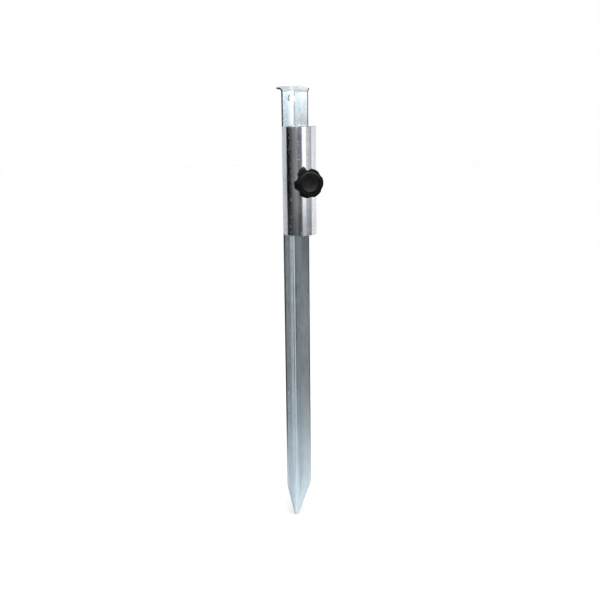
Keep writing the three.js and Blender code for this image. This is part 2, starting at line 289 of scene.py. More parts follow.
def ground_spike(materials):
    """The folded sheet with its hole, its point and its flared lip."""
    per_side = 28
    hole_rings = 8
    outer_columns = 5
    point_rows = 10
    body_rows = 23
    lip_rows = 18
    columns = steps(-SHEET_HALF_WIDTH, -HOLE_SQUARE, outer_columns)[:-1]
    columns += steps(-HOLE_SQUARE, HOLE_SQUARE, per_side)
    columns += steps(HOLE_SQUARE, SHEET_HALF_WIDTH, outer_columns)[1:]
    square_low = SPIKE_HOLE_HEIGHT - HOLE_SQUARE
    square_high = SPIKE_HOLE_HEIGHT + HOLE_SQUARE
    rows = steps(TIP_LIFT, POINT_LENGTH, point_rows)[:-1]
    rows += steps(POINT_LENGTH, square_low, body_rows)[:-1]
    rows += steps(square_low, square_high, per_side)
    rows += steps(square_high, LIP_START + LIP_LENGTH, lip_rows)[1:]

    def edge_of_hole(angle):
        return (
            plan_x_to_across(SPIKE_HOLE_RADIUS * math.cos(angle)),
            SPIKE_HOLE_RADIUS * math.sin(angle),
        )

    centre = (0, SPIKE_HOLE_HEIGHT)
    pattern = flat_pattern(columns, rows, centre, HOLE_SQUARE, per_side, hole_rings, edge_of_hole)
    return bent_sheet("spike_sheet", pattern, bend_spike, SHEET, SHEET_EDGE_ROUNDING, materials)


def holder_tube(materials):
    """A rolled tube. Its pattern's middle is the front, where the clamp screw goes through."""
    per_side = 16
    hole_rings = 4
    outer_columns = 60
    outer_rows = 6
    middle_radius = TUBE_RADIUS - TUBE_WALL / 2
    height = tube_high.z - tube_low.z
    half_round = math.pi * middle_radius
    columns = steps(-half_round, -HOLE_SQUARE, outer_columns)[:-1]
    columns += steps(-HOLE_SQUARE, HOLE_SQUARE, per_side)
    columns += steps(HOLE_SQUARE, half_round, outer_columns)[1:]
    hole_height = CLAMP_HEIGHT - tube_low.z
    square_low = hole_height - HOLE_SQUARE
    square_high = hole_height + HOLE_SQUARE
    rows = steps(0, square_low, outer_rows)[:-1]
    rows += steps(square_low, square_high, per_side)
    rows += steps(square_high, height, outer_rows)[1:]

    def roll(across, up):
        angle = across / middle_radius
        return (
            TUBE_AXIS.x + middle_radius * math.sin(angle),
            TUBE_AXIS.y - middle_radius * math.cos(angle),
            tube_low.z + up,
        )

    def edge_of_hole(angle):
        sideways = math.asin(SCREW_HOLE_RADIUS * math.cos(angle) / middle_radius) * middle_radius
        return sideways, SCREW_HOLE_RADIUS * math.sin(angle)

    centre = (0, hole_height)
    pattern = flat_pattern(columns, rows, centre, HOLE_SQUARE, per_side, hole_rings, edge_of_hole)
    return bent_sheet("tube", pattern, roll, TUBE_WALL, TUBE_EDGE_ROUNDING, materials)


# ---- Clamp pieces: closed rings round the screw's axis --------------------------------

def clamp_point(radius, angle, distance):
    return (
        TUBE_AXIS.x + radius * math.cos(angle),
        TUBE_AXIS.y - distance,
        CLAMP_HEIGHT + radius * math.sin(angle),
    )


def ringed_piece(name, rings, around, closed):
    """A body from rings listed along its section. Each ring gives radius and distance at an angle.

    closed joins the last ring to the first, as on a nut. Otherwise the end rings shrink to points.
    """
    vertices = []
    for ring in rings:
        for index in range(around):
            angle = 2 * math.pi * index / around
            radius, distance = ring(angle)
            vertices.append(clamp_point(radius, angle, distance))
    faces = []
    count = len(rings)
    for ring in range(count if closed else count - 1):
        here, there = ring * around, ((ring + 1) % count) * around
        for index in range(around):
            following = (index + 1) % around
            faces.append((here + index, here + following, there + following, there + index))
    return piece_from(name, vertices, faces)


def plain_ring(radius, distance):
    return lambda angle: (radius, distance)


def hex_radius(angle, flat_radius):
    """Distance from the axis to a hexagon's edge. Two corners point up and down."""
    sector = math.pi / 3
    turned = (angle + math.pi / 6) % sector - sector / 2
    return flat_radius / math.cos(turned)


def hex_rings(low, high):
    """Outer rings of a hexagon between two distances, its corners chamfered at 30 degrees."""
    slope = math.tan(math.radians(30))
    corner_rounding = 0.12 * MM
    corner_radius = hex_radius(math.pi / 2, HEX_FLAT_RADIUS) - corner_rounding

    def side_ring(distance, direction):
        def ring(angle):
            radius = min(hex_radius(angle, HEX_FLAT_RADIUS), corner_radius)
            drop = max(0.0, radius - HEX_FACE_RADIUS) * slope
            return radius, distance + direction * drop
        return ring

    return [
        plain_ring(HEX_FACE_RADIUS, low),
        side_ring(low, 1),
        side_ring(high, -1),
        plain_ring(HEX_FACE_RADIUS, high),
    ]


def weld_nut():
    """The nut on the tube's front. Its flat back stands just off the round tube."""
    bore = 4.06 * MM
    bore_chamfer = 0.5 * MM
    back = TUBE_AXIS.y - nut_high.y
    front = TUBE_AXIS.y - nut_low.y
    outer = hex_rings(back, front)
    inner = [
        plain_ring(bore + bore_chamfer, front),
        plain_ring(bore, front - bore_chamfer),
        plain_ring(bore, back + bore_chamfer),
        plain_ring(bore + bore_chamfer, back),
    ]
    nut = ringed_piece("nut", outer + inner, around=180, closed=True)
    return shade(nut, sharp_angle=25)


SCREW_CREST = 3.95 * MM
SCREW_NECK_RADIUS = SCREW_CREST - THREAD_DEPTH / 2
SCREW_NECK_LENGTH = 1.5 * MM


def thread_radius(phase):
    """The outline of a V thread over one turn, with a flat crest and a flat root."""
    share = phase % 1.0
    ramp = 0.36  # each flank's share of the pitch
    flat = (1 - 2 * ramp) / 2
    if share < flat:
        depth = 0.0
    elif share < flat + ramp:
        depth = (share - flat) / ramp
    elif share < 2 * flat + ramp:
        depth = 1.0
    else:
        depth = 1 - (share - 2 * flat - ramp) / ramp
    return SCREW_CREST - depth * THREAD_DEPTH


def screw_thread(tip, thread_end):
    """A right-hand thread on rows that climb one pitch a turn, chamfered at the tip."""
    tip_chamfer = 0.9 * MM
    per_turn = 12
    around = 72
    row_count = int((thread_end - tip) / THREAD_PITCH * per_turn) + 2 * per_turn
    vertices = []
    faces = []
    for row in range(row_count + 1):
        for index in range(around):
            climb = (row - per_turn) / per_turn + index / around
            distance = min(thread_end, max(tip, tip + climb * THREAD_PITCH))
            tip_cone = SCREW_CREST - tip_chamfer + (distance - tip)
            radius = min(thread_radius(row / per_turn), tip_cone)
            fade = smoothstep(thread_end - THREAD_PITCH, thread_end, distance)
            radius = mix(radius, SCREW_NECK_RADIUS, fade)
            vertices.append(clamp_point(radius, 2 * math.pi * index / around, distance))
    for row in range(row_count - per_turn):
        for index in range(around - 1):
            first = row * around + index
            faces.append((first, first + 1, first + around + 1, first + around))
        last = row * around + around - 1
        wrapped = (row + per_turn) * around
        faces.append((last, wrapped, wrapped + around, last + around))
    thread = piece_from("screw_thread", vertices, faces, merge=2e-6)
    close_open_ends(thread)
    return shade(thread, sharp_angle=40)


def screw_head(neck_start, seat, head_top):
    """The hexagon head with the smooth neck below it."""
    rings = [
        plain_ring(0, neck_start),
        plain_ring(SCREW_NECK_RADIUS, neck_start),
        plain_ring(SCREW_NECK_RADIUS, seat),
        *hex_rings(seat, head_top),
        plain_ring(0, head_top),
    ]
    return shade(ringed_piece("screw_head", rings, around=180, closed=False), sharp_angle=40)


def clamp_screw():
    """An M8 hexagon screw, as a threaded piece and a head."""
    tip = TUBE_AXIS.y - screw_high.y
    head_top = TUBE_AXIS.y - screw_low.y
    seat = tip + SCREW_LENGTH
    thread_end = seat - SCREW_NECK_LENGTH
    neck_start = thread_end - 0.2 * MM  # inside the thread's last turn
    return [screw_thread(tip, thread_end), screw_head(neck_start, seat, head_top)]


def close_open_ends(piece):
    work = bmesh.new()
    work.from_mesh(piece.data)
    open_edges = [edge for edge in work.edges if len(edge.link_faces) == 1]
    bmesh.ops.holes_fill(work, edges=open_edges, sides=0)
    bmesh.ops.recalc_face_normals(work, faces=work.faces)
    work.to_mesh(piece.data)
    work.free()


KNOB_RADIUS = (knob_high.x - knob_low.x) / 2
KNOB_LOBES = 6
KNOB_PHASE = math.radians(36)
FLUTE_RADIUS = 5 * MM
FLUTE_DEPTH_BACK = 3.4 * MM
FLUTE_DEPTH_FRONT = 0.9 * MM
FLUTE_EDGE_ROUNDING = 0.8 * MM
KNOB_BACK_ROUND = 2.0 * MM
KNOB_FRONT_ROUND = 4.6 * MM
KNOB_RING_HEIGHT = 0.35 * MM  # of the raised ring round the front disc


def smooth_min(first, second, softness):
    """The smaller of two values, with the corner between them rounded."""
    blend = max(0.0, softness - abs(first - second)) / softness
    return min(first, second) - blend * blend * softness / 4


def knob_radius(angle, shrink, height_share):
    """The rim at an angle. Each flute is a round cut that leans, deep at the back and shallow in front."""
    body = KNOB_RADIUS - shrink
    sector = 2 * math.pi / KNOB_LOBES
    off_flute = (angle - KNOB_PHASE + sector / 2) % sector - sector / 2
    depth = mix(FLUTE_DEPTH_BACK, FLUTE_DEPTH_FRONT, height_share)
    axis = KNOB_RADIUS - depth + FLUTE_RADIUS
    inside = FLUTE_RADIUS ** 2 - (axis * math.sin(off_flute)) ** 2
    if inside <= 0:
        return body
    flute = axis * math.cos(off_flute) - math.sqrt(inside)
    return smooth_min(body, flute, FLUTE_EDGE_ROUNDING)


def quarter_arc(radius, count):
    """How far a rounded edge has come inwards and upwards, from its foot to its top."""
    for index in range(count + 1):
        angle = math.pi / 2 * index / count
        yield radius * (1 - math.cos(angle)), radius * (1 - math.sin(angle))


def knob_rim(back, front):
    """The fluted rim with its rounded edges, from the back to the foot of the raised ring."""
    shoulder = front - KNOB_RING_HEIGHT
    side_low = back + KNOB_BACK_ROUND
    side_high = shoulder - KNOB_FRONT_ROUND

    def fluted(shrink, distance):
        share = (distance - back) / (front - back)
        return lambda angle: (knob_radius(angle, shrink, share), distance)

    back_edge = [fluted(shrink, back + gap) for shrink, gap in quarter_arc(KNOB_BACK_ROUND, 8)]
    side = [fluted(0, distance) for distance in steps(side_low, side_high, 8)]
    front_edge = [fluted(shrink, shoulder - gap) for shrink, gap in quarter_arc(KNOB_FRONT_ROUND, 10)]
    return [*reversed(back_edge), *side[1:-1], *front_edge]


def knob_raised_ring(front, well_radius):
    """The raised ring in the knob's front, from the rim inwards to the disc's well."""
    outer = KNOB_RADIUS - KNOB_FRONT_ROUND
    crest = (well_radius + outer) / 2
    section = [  # radius, and depth below the front
        (mix(crest, outer, 0.5), 0.1 * MM),
        (crest, 0.0),
        (crest - 0.3 * MM, 0.06 * MM),
        (well_radius + 0.15 * MM, 0.75 * MM),
        (well_radius, 0.95 * MM),
    ]
    return [plain_ring(radius, front - depth) for radius, depth in section]


def knob_grip():
    """The star knob, with a well for the front disc and a pocket for the screw's head."""
    back = TUBE_AXIS.y - knob_high.y
    front = TUBE_AXIS.y - knob_low.y
    well_floor = TUBE_AXIS.y - disc_high.y - CLEARANCE
    well_radius = (disc_high.x - disc_low.x) / 2 + CLEARANCE
    pocket_floor = TUBE_AXIS.y - screw_high.y + SCREW_LENGTH - CLEARANCE
    pocket_flat = HEX_FLAT_RADIUS + CLEARANCE
    flat_back_radius = 0.55 * KNOB_RADIUS
    bore = 4.4 * MM
    bore_chamfer = 0.4 * MM

    def hexed(distance):
        return lambda angle: (hex_radius(angle, pocket_flat), distance)

    rings = [
        plain_ring(bore, back + bore_chamfer),
        plain_ring(bore + bore_chamfer, back),
        plain_ring(flat_back_radius, back),
        *knob_rim(back, front),
        *knob_raised_ring(front, well_radius),
        plain_ring(well_radius, well_floor),
        hexed(well_floor),
        hexed(pocket_floor),
        plain_ring(bore, pocket_floor),
    ]
    return shade(ringed_piece("knob_star", rings, around=288, closed=True), sharp_angle=45)


def knob_front_disc():
    """The dished disc that closes the knob's front, with a rounded rim."""
    radius = (disc_high.x - disc_low.x) / 2
    back = TUBE_AXIS.y - disc_high.y
    front = TUBE_AXIS.y - disc_low.y
    back_chamfer = 0.1 * MM
    rim_round = 0.35 * MM
    rim_width = 0.9 * MM
    dish_depth = 0.6 * MM
    dish_steepness = 2.4  # 2 would make the dish a parabola
    dish_rings = 24
    rings = [
        plain_ring(0, back),
        plain_ring(radius - back_chamfer, back),
        plain_ring(radius, back + back_chamfer),
    ]
    for inward, gap in quarter_arc(rim_round, 6):
        rings.append(plain_ring(radius - inward, front - gap))
    dish_radius = radius - rim_round - rim_width
    for index in range(dish_rings + 1):
        share = 1 - index / dish_rings
        depth = dish_depth * (1 - share ** dish_steepness)
        rings.append(plain_ring(dish_radius * share, front - depth))
    return shade(ringed_piece("knob_disc", rings, around=144, closed=False), sharp_angle=45)


def pressure_pad():
    """The plastic cap on the screw's inner end, hollow from outside."""
    radius = (pad_high.x - pad_low.x) / 2
    inner_end = TUBE_AXIS.y - pad_high.y
    outer_end = TUBE_AXIS.y - pad_low.y
    socket = 4.28 * MM
    socket_floor = TUBE_AXIS.y - screw_high.y - CLEARANCE
    socket_chamfer = 0.2 * MM
    rim_chamfer = 0.3 * MM
    edge_round = 0.9 * MM
    rings = [plain_ring(0, inner_end), plain_ring(radius - edge_round - 0.5 * MM, inner_end)]
    for inward, gap in reversed(list(quarter_arc(edge_round, 6))):
        rings.append(plain_ring(radius - inward, inner_end + gap))
    rings += [
        plain_ring(radius, outer_end - rim_chamfer),
        plain_ring(radius - rim_chamfer, outer_end),
        plain_ring(socket + socket_chamfer, outer_end),
        plain_ring(socket, outer_end - socket_chamfer),
        plain_ring(socket, socket_floor),
        plain_ring(0, socket_floor),
    ]
    return shade(ringed_piece("pressure_pad", rings, around=96, closed=False), sharp_angle=45)


# ---- Weld beads -----------------------------------------------------------------------

STITCH_RADIUS = 1.65 * MM
STITCH_RIPPLE = 1.5 * MM
NUT_BEAD_RADIUS = 1.55 * MM
NUT_RIPPLE = 1.4 * MM


def weld_bead(name, start, end, radius, ripple_length, seed):
    """A rounded bead from start to end, with the scale-like ripples of a weld pool."""
    start, end = Vector(start), Vector(end)
    along = (end - start).normalized()
    length = (end - start).length
    side = along.orthogonal().normalized()
    other = along.cross(side)
    rows = max(24, int(length / ripple_length * 8))
    around = 20
    # Shares of the radius: the bead between two ripples, a ripple's height, how far its middle strays
    mean_share = 0.93
    ripple_share = 0.07
    wander_share = 0.05
    vertices = []
    for row in range(rows + 1):
        share = row / rows
        distance = share * length
        end_taper = math.sqrt(max(0.0, 1 - abs(2 * share - 1) ** 8))
        ripple = ripple_share * abs(math.sin(math.pi * distance / ripple_length + seed))
        wander = wander_share * math.sin(distance / radius * 1.7 + seed * 2.3)
        for index in range(around):
            angle = 2 * math.pi * index / around
            reach = radius * end_taper * (mean_share + ripple + wander * math.cos(angle))
            sideways = reach * math.cos(angle)
            upright = reach * math.sin(angle)
            vertices.append(start + along * distance + side * sideways + other * upright)
    faces = []
    for row in range(rows):
        for index in range(around):
            following = (index + 1) % around
            low, high = row * around, (row + 1) * around
            faces.append((low + index, low + following, high + following, high + index))
    return shade(piece_from(name, vertices, faces, merge=1e-6), sharp_angle=60)


def stitch_welds():
    """The beads between the spike's free edges and the tube, where the CAD has them."""
    edge, outward = across_to_plan(SHEET_HALF_WIDTH)
    inner_corner = edge - outward * (SHEET / 2)
    beads = []
    for number, level in enumerate(("lower", "middle", "upper")):
        for side, word in ((-1, "left"), (1, "right")):
            node = f"weld_{level}_{word}"
            low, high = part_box(node)
            start = (side * inner_corner.x, inner_corner.y, low.z)
            end = (side * inner_corner.x, inner_corner.y, high.z)
            seed = number + side * 0.4
            bead = weld_bead(f"bead_{level}_{word}", start, end, STITCH_RADIUS, STITCH_RIPPLE, seed)
            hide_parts(node)
            beads.append(bead)
    return beads


def nut_welds():
    """The two short beads that hold the nut on the tube."""
    beads = []
    for side, word in ((-1, "left"), (1, "right")):
        node = f"nut_weld_{word}"
        low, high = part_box(node)
        x = side * HEX_FLAT_RADIUS
        y = TUBE_AXIS.y - math.sqrt(TUBE_RADIUS ** 2 - HEX_FLAT_RADIUS ** 2)
        start = (x, y, low.z)
        end = (x, y, high.z)
        bead = weld_bead(f"nut_bead_{word}", start, end, NUT_BEAD_RADIUS, NUT_RIPPLE, side)
        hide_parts(node)
        beads.append(bead)
    return beads


# ---- Materials --------------------------------------------------------------------------

class Nodes:
    """Short ways to add and join shader nodes."""

    def __init__(self, tree):
        self.tree = tree
        self.output = None
        tree.nodes.clear()

    def add(self, kind, inputs=None, **settings):
        node = self.tree.nodes.new(kind)
        for key, value in settings.items():
            setattr(node, key, value)
        for key, value in (inputs or {}).items():
            self.feed(node.inputs[key], value)
        return node

    def feed(self, socket, value):
        if isinstance(value, bpy.types.NodeSocket):
            self.tree.links.new(value, socket)
        else:
            socket.default_value = value

    def math(self, operation, first, second=0.0, third=0.0):
        node = self.add("ShaderNodeMath", {0: first, 1: second, 2: third}, operation=operation)
        return node.outputs[0]

    def remap(self, value, low, high, to_low, to_high, smooth=False):
        node = self.add("ShaderNodeMapRange", {
            "Value": value, "From Min": low, "From Max": high, "To Min": to_low, "To Max": to_high,
        }, interpolation_type="SMOOTHSTEP" if smooth else "LINEAR")
        return node.outputs["Result"]

    def fade(self, value, zero_at, one_at):
        """A smooth change from 0 to 1 between two values. Beyond them it stays 0 or 1."""
        return self.remap(value, zero_at, one_at, 0.0, 1.0, smooth=True)

    def weighted_sum(self, *terms):
        """The sum of pairs of a value and its weight."""
        total = 0.0
        for value, weight in terms:
            total = self.math("MULTIPLY_ADD", value, weight, total)
        return total

    def stretched(self, scale):
        """Object coordinates, in metres, multiplied along each axis."""
        place = self.add("ShaderNodeTexCoord")
        mapping = self.add("ShaderNodeMapping", {"Vector": place.outputs["Object"], "Scale": scale})
        return mapping.outputs["Vector"]

    def noise(self, scale, detail=3.0, roughness=0.5):
        node = self.add("ShaderNodeTexNoise", {
            "Vector": self.stretched(scale), "Scale": 1.0, "Detail": detail, "Roughness": roughness,
        })
        return node.outputs["Fac"]

    def mixed_colour(self, share, first, second):
        node = self.add("ShaderNodeMix", data_type="RGBA")
        self.feed(node.inputs["Factor"], share)
        self.feed(node.inputs["A"], first)
        self.feed(node.inputs["B"], second)
        return node.outputs["Result"]

    def bump(self, height, strength, distance, normal=None):
        inputs = {"Height": height, "Strength": strength, "Distance": distance}
        if normal is not None:
            inputs["Normal"] = normal
        return self.add("ShaderNodeBump", inputs).outputs["Normal"]


def new_material(name):
    """A material with a Principled surface joined to its output."""
    material = bpy.data.materials.new(name)
    material.use_nodes = True
    nodes = Nodes(material.node_tree)
    surface = nodes.add("ShaderNodeBsdfPrincipled")
    nodes.output = nodes.add("ShaderNodeOutputMaterial")
    nodes.feed(nodes.output.inputs["Surface"], surface.outputs["BSDF"])
    return material, nodes, surface


def blend_surfaces(nodes, share, first, second):
    """Shows a mix of two Principled surfaces: share is how much of the second."""
    blend = nodes.add("ShaderNodeMixShader", {0: share})
    nodes.feed(blend.inputs[1], first.outputs["BSDF"])
    nodes.feed(blend.inputs[2], second.outputs["BSDF"])
    nodes.feed(nodes.output.inputs["Surface"], blend.outputs["Shader"])


def zinc_coated(name, dark, light, gloss_roughness, dull_roughness, dull_metal, dull_share, bloom_share,
                lines, ripple, crystals):
    """Zinc-coated steel: a glossy surface with dull patches.

    bloom_share is how dull the small spots of zinc bloom are. lines and ripple are the strengths of the
    drawing lines and of the sheet's waviness, and crystals is how much the zinc crystals show.
    """
    cloud_weight = 0.72 - crystals
    speckle_weight = 0.28
    material, nodes, gloss = new_material(name)
    cells = nodes.add("ShaderNodeTexVoronoi", {
        "Vector": nodes.stretched((260, 260, 170)), "Scale": 1.0, "Randomness": 1.0,
    })
    cell_tone = nodes.add("ShaderNodeSeparateColor", {"Color": cells.outputs["Color"]}).outputs[0]
    clouds = nodes.noise((60, 60, 22), detail=5.0, roughness=0.6)
    speckle = nodes.noise((1500, 1500, 900), detail=3.0, roughness=0.65)
    spots = nodes.noise((420, 420, 300), detail=3.0, roughness=0.6)
    drawing_lines = nodes.noise((2600, 2600, 26), detail=3.0, roughness=0.6)
    waves = nodes.noise((150, 150, 30), detail=2.0, roughness=0.4)

    tone = nodes.weighted_sum((cell_tone, crystals), (clouds, cloud_weight), (speckle, speckle_weight))
    colour = nodes.mixed_colour(nodes.remap(tone, 0.3, 0.72, 0.0, 1.0), dark, light)
    normal = nodes.bump(waves, ripple, 0.6 * MM)
    normal = nodes.bump(drawing_lines, lines, 0.05 * MM, normal)
    normal = nodes.bump(speckle, 0.6 * lines, 0.04 * MM, normal)
    dull = nodes.add("ShaderNodeBsdfPrincipled")
    for surface, roughness, metal in ((gloss, gloss_roughness, 1.0), (dull, dull_roughness, dull_metal)):
        uneven = nodes.remap(speckle, 0.3, 0.7, 0.85 * roughness, 1.2 * roughness)
        nodes.feed(surface.inputs["Base Color"], colour)
        nodes.feed(surface.inputs["Metallic"], metal)
        nodes.feed(surface.inputs["Roughness"], uneven)
        nodes.feed(surface.inputs["Normal"], normal)

    patches = nodes.weighted_sum((cell_tone, 2 * crystals), (clouds, 1 - 2 * crystals))
    patchy = nodes.remap(patches, 0.25, 0.75, 0.6 * dull_share, 1.4 * dull_share)
    bloom = nodes.remap(spots, 0.53, 0.70, 0.0, bloom_share)
    blend_surfaces(nodes, nodes.math("ADD", patchy, bloom), gloss, dull)
    return material


def galvanised_sheet():
    return zinc_coated(
        "galvanised_sheet", dark=(0.66, 0.73, 0.77, 1), light=(0.80, 0.86, 0.89, 1),
        gloss_roughness=0.15, dull_roughness=0.6, dull_metal=0.5, dull_share=0.11, bloom_share=0.05,
        lines=0.4, ripple=0.15, crystals=0.15,
    )


def galvanised_tube():
    return zinc_coated(
        "galvanised_tube", dark=(0.60, 0.64, 0.69, 1), light=(0.90, 0.94, 0.98, 1),
        gloss_roughness=0.05, dull_roughness=0.4, dull_metal=1.0, dull_share=0.02, bloom_share=0.3,
        lines=0.3, ripple=0.12, crystals=0.04,
    )


def zinc_plate():
    return zinc_coated(
        "zinc_plate", dark=(0.66, 0.68, 0.70, 1), light=(0.82, 0.84, 0.86, 1),
        gloss_roughness=0.18, dull_roughness=0.4, dull_metal=1.0, dull_share=0.3, bloom_share=0.0,
        lines=0.25, ripple=0.05, crystals=0.1,
    )


def sheared_edge():
    """The cut edge of the sheet: steel without zinc, with shear marks, its colour darkened far below
    steel's as painted shade along the thin edge. Towards the point the painted shade fades into the zinc's
    colour.
    """
    shade_gone_below = 50 * MM
    full_shade_above = 150 * MM
    zinc = (0.70, 0.74, 0.77, 1)
    material, nodes, surface = new_material("sheared_edge")
    marks = nodes.noise((900, 900, 3000), detail=3.0, roughness=0.6)
    share = nodes.remap(marks, 0.35, 0.65, 0.0, 1.0)
    # Near-black colours: the edge's own steel, darkened further as painted shade
    bare_and_shaded = nodes.mixed_colour(share, (0.02, 0.021, 0.023, 1), (0.06, 0.063, 0.066, 1))
    height = nodes.add("ShaderNodeSeparateXYZ", {"Vector": nodes.stretched((1, 1, 1))}).outputs["Z"]
    # The painted shade fades out towards the point, where the edge takes the zinc's colour
    shade_fading = nodes.fade(height, full_shade_above, shade_gone_below)
    nodes.feed(surface.inputs["Base Color"], nodes.mixed_colour(shade_fading, bare_and_shaded, zinc))
    nodes.feed(surface.inputs["Metallic"], 0.8)
    nodes.feed(surface.inputs["Roughness"], 0.5)
    nodes.feed(surface.inputs["Normal"], nodes.bump(marks, 0.4, 0.1 * MM))
    return material


def weld_metal():
    """Zinc over a weld bead: duller, grainy, with darker patches."""
    material, nodes, surface = new_material("weld_metal")
    grain = nodes.noise((900, 900, 900), detail=4.0, roughness=0.7)
    patches = nodes.noise((180, 180, 120), detail=3.0)
    tone = nodes.weighted_sum((grain, 0.5), (patches, 0.5))
    share = nodes.remap(tone, 0.35, 0.65, 0.0, 1.0)
    colour = nodes.mixed_colour(share, (0.34, 0.35, 0.36, 1), (0.62, 0.64, 0.66, 1))
    nodes.feed(surface.inputs["Base Color"], colour)
    nodes.feed(surface.inputs["Metallic"], 1.0)
    nodes.feed(surface.inputs["Roughness"], nodes.remap(grain, 0.3, 0.7, 0.32, 0.55))
    nodes.feed(surface.inputs["Normal"], nodes.bump(grain, 0.5, 0.1 * MM))
    return material


def black_plastic():
    """Moulded black plastic: matt, with a thin sheen that grows towards the outline, and fine grain."""
    sheen_face_on = 0.010
    sheen_at_outline = 0.022
    material, nodes, matt = new_material("black_plastic")
    grain = nodes.noise((4200, 4200, 4200), detail=2.0, roughness=0.6)
    handled = nodes.noise((160, 160, 160), detail=4.0, roughness=0.6)
    share = nodes.remap(handled, 0.35, 0.7, 0.0, 1.0)
    colour = nodes.mixed_colour(share, (0.001, 0.001, 0.0011, 1), (0.003, 0.003, 0.0032, 1))
    normal = nodes.bump(grain, 0.35, 0.08 * MM)
    nodes.feed(matt.inputs["Base Color"], colour)
    nodes.feed(matt.inputs["Roughness"], 0.6)
    nodes.feed(matt.inputs["Specular IOR Level"], 0.0)
    nodes.feed(matt.inputs["Normal"], normal)
    sheen = nodes.add("ShaderNodeBsdfPrincipled", {
        "Base Color": (1, 1, 1, 1), "Metallic": 1.0, "Normal": normal,
        "Roughness": nodes.remap(handled, 0.3, 0.7, 0.24, 0.36),
    })
    facing = nodes.add("ShaderNodeLayerWeight", {"Blend": 0.5}).outputs["Facing"]
    blend_surfaces(nodes, nodes.remap(facing, 0.4, 1.0, sheen_face_on, sheen_at_outline), matt, sheen)
    return material


# ---- Studio ------------------------------------------------------------------------------

# The camera, whose aim is worked out from the tube's lower end
CAMERA_AZIMUTH = math.radians(-16.7)
CAMERA_ELEVATION = math.radians(14.1)
CAMERA_ROLL = math.radians(-0.63)
CAMERA_DISTANCE = 0.899
CAMERA_LENS = 46.4
AIM_BELOW_TUBE = 0.0781
AIM_LEFT_OF_TUBE = 0.0008


def camera_axes():
    """Right, up and backwards, before the camera's small roll."""
    back = Vector((
        math.sin(CAMERA_AZIMUTH) * math.cos(CAMERA_ELEVATION),
        -math.cos(CAMERA_AZIMUTH) * math.cos(CAMERA_ELEVATION),
        math.sin(CAMERA_ELEVATION),
    ))
    right = Vector((math.cos(CAMERA_AZIMUTH), math.sin(CAMERA_AZIMUTH), 0))
    return right, back.cross(right), back


def level_towards_camera():
    back = camera_axes()[2]
    return Vector((back.x, back.y, 0)).normalized()


def add_camera():
    right, up, back = camera_axes()
    aim = TUBE_AXIS + Vector((0, 0, tube_low.z - AIM_BELOW_TUBE)) - right * AIM_LEFT_OF_TUBE
    data = bpy.data.cameras.new("camera")
    data.sensor_width = 36
    data.lens = CAMERA_LENS
    data.clip_start = 0.05
    data.clip_end = 50
    camera = bpy.data.objects.new("camera", data)
    turned = Matrix((right, up, back)).transposed() @ Matrix.Rotation(CAMERA_ROLL, 3, "Z")
    camera.matrix_world = Matrix.Translation(aim + back * CAMERA_DISTANCE) @ turned.to_4x4()
    bpy.context.scene.collection.objects.link(camera)
    bpy.context.scene.camera = camera


# The studio's brightness in a full turn round the object, as (turn, level): turn 0 is behind the object and
# 0.5 is where the camera stands. Each list is for the elevation that a part of the object mirrors.
BANDS_AT_TUBE_TOP = [
    (0.000, 0.70), (0.230, 0.62), (0.244, 0.0), (0.300, 0.005), (0.345, 0.07), (0.380, 0.19),
    (0.455, 0.33), (0.475, 0.24), (0.500, 0.17), (0.525, 0.19), (0.548, 0.28), (0.562, 1.30),
    (0.622, 1.30), (0.634, 0.62), (0.690, 0.62), (0.700, 0.50), (0.745, 0.50), (0.755, 0.97), (1.000, 0.90),
]
BANDS_AT_TUBE_BOTTOM = [
    (0.000, 0.70), (0.232, 0.62), (0.248, 0.03), (0.300, 0.03), (0.345, 0.05), (0.380, 0.10),
    (0.455, 0.16), (0.475, 0.10), (0.500, 0.06), (0.525, 0.08), (0.548, 0.16), (0.562, 0.50),
    (0.622, 0.50), (0.634, 0.33), (0.690, 0.33), (0.700, 0.27), (0.745, 0.27), (0.755, 0.97), (1.000, 0.90),
]
BANDS_BELOW_TUBE = [
    (0.000, 0.10), (0.232, 0.10), (0.248, 0.03), (0.300, 0.08), (0.345, 0.18), (0.380, 0.12),
    (0.455, 0.02), (0.500, 0.02), (0.530, 0.03), (0.548, 0.20), (0.562, 0.70),
    (0.600, 0.70), (0.615, 0.10), (0.745, 0.06), (0.755, 0.10), (1.000, 0.10),
]
BANDS_AT_HORIZON = [
    (0.000, 0.40), (0.290, 0.40), (0.320, 1.80), (0.370, 1.80), (0.395, 0.30), (0.440, 0.30),
    (0.465, 1.80), (0.535, 1.80), (0.560, 0.60), (0.590, 0.60), (0.610, 3.00), (0.630, 3.00),
    (0.650, 0.40), (1.000, 0.40),
]

# Elevations in degrees, as (where a change starts, where it ends)
TUBE_TOP_TO_BOTTOM = (-5.5, -9.0)
TUBE_TO_BELOW = (-9.5, -12.0)
LOW_LIGHT_COOLS = (-12.0, -22.0)
BANDS_TO_FLOOR = (-20.0, -31.0)
FLOOR_DIMS = (-36.0, -48.0)
STUDIO_TO_ROOM = (-0.7, 0.2)
HORIZON_TO_WALLS = (6.0, 14.0)
WALLS_TO_CEILING = (50.0, 65.0)

FLOOR_LEVEL = 1.15
FAR_BELOW_LEVEL = 0.25
WALL_LEVEL = 0.6
CEILING_LEVEL = 0.2
WHITE = (1, 1, 1, 1)
COOL_WHITE = (0.93, 1.0, 1.06, 1)

# The key light: a soft box to the right of the camera
KEY_TURN = 0.595
KEY_SIDE = (0.085, 0.035)
KEY_FOOT = (4.0, 9.0)
KEY_TOP = (32.0, 22.0)
KEY_LEVEL = 7.0


